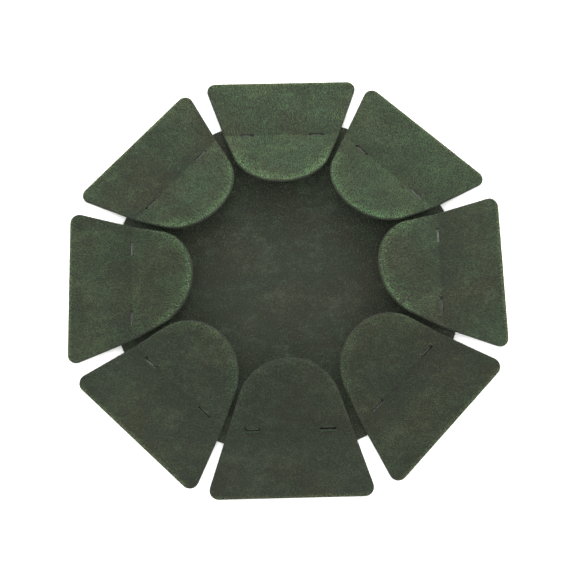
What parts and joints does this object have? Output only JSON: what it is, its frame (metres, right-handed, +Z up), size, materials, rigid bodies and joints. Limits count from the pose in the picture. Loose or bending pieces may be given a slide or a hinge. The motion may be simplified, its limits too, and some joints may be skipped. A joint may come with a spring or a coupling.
{
  "type": "golf putting practice cup",
  "caption": "Round steel putting practice cup: a flat base ringed by loose flock-covered petals that each rock on two tabs to let a ball drop into the middle.",
  "frame": {"origin": "on the floor under the middle of the base plate", "axes": "+Z up through the middle of the cup, +Y towards the middle of the first petal, the other petals following clockwise seen from above"},
  "size_m": [0.2602, 0.2606, 0.0243],
  "materials": {
    "painted_steel": "matt dark green paint on 1 mm steel sheet",
    "green_flock": "short upright nylon flock, velvety"
  },
  "bodies": {
    "base": {"base_plate": "painted_steel", "base_flock": "green_flock"},
    "petal_1": {"petal_1": "painted_steel", "petal_flock_1": "green_flock"},
    "petal_2": {"petal_2": "painted_steel", "petal_flock_2": "green_flock"},
    "petal_3": {"petal_3": "painted_steel", "petal_flock_3": "green_flock"},
    "petal_4": {"petal_4": "painted_steel", "petal_flock_4": "green_flock"},
    "petal_5": {"petal_5": "painted_steel", "petal_flock_5": "green_flock"},
    "petal_6": {"petal_6": "painted_steel", "petal_flock_6": "green_flock"},
    "petal_7": {"petal_7": "painted_steel", "petal_flock_7": "green_flock"},
    "petal_8": {"petal_8": "painted_steel", "petal_flock_8": "green_flock"}
  },
  "joints": [
    {"name": "petal_1_rock", "type": "hinge", "parent": "base", "child": "petal_1", "pos_m": [0.0003, 0.09132, 0.00498], "axis": [0.9998, -0.0192, 0], "range_deg": [0, 28]},
    {"name": "petal_2_rock", "type": "hinge", "parent": "base", "child": "petal_2", "pos_m": [0.06457, 0.06457, 0.00498], "axis": [0.7193, -0.6947, 0], "range_deg": [0, 28]},
    {"name": "petal_3_rock", "type": "hinge", "parent": "base", "child": "petal_3", "pos_m": [0.09132, 0.0006, 0.00498], "axis": [-0.0157, -0.9999, 0], "range_deg": [0, 28]},
    {"name": "petal_4_rock", "type": "hinge", "parent": "base", "child": "petal_4", "pos_m": [0.06493, -0.06422, 0.00498], "axis": [-0.7022, -0.712, 0], "range_deg": [0, 28]},
    {"name": "petal_5_rock", "type": "hinge", "parent": "base", "child": "petal_5", "pos_m": [-0.0006, -0.09132, 0.00498], "axis": [-0.9999, 0.0105, 0], "range_deg": [0, 28]},
    {"name": "petal_6_rock", "type": "hinge", "parent": "base", "child": "petal_6", "pos_m": [-0.0645, -0.06464, 0.00498], "axis": [-0.7133, 0.7009, 0], "range_deg": [0, 28]},
    {"name": "petal_7_rock", "type": "hinge", "parent": "base", "child": "petal_7", "pos_m": [-0.09132, -0.0006, 0.00498], "axis": [-0.0052, 1, 0], "range_deg": [0, 28]},
    {"name": "petal_8_rock", "type": "hinge", "parent": "base", "child": "petal_8", "pos_m": [-0.06486, 0.06429, 0.00498], "axis": [0.7009, 0.7133, 0], "range_deg": [0, 28]}
  ]
}
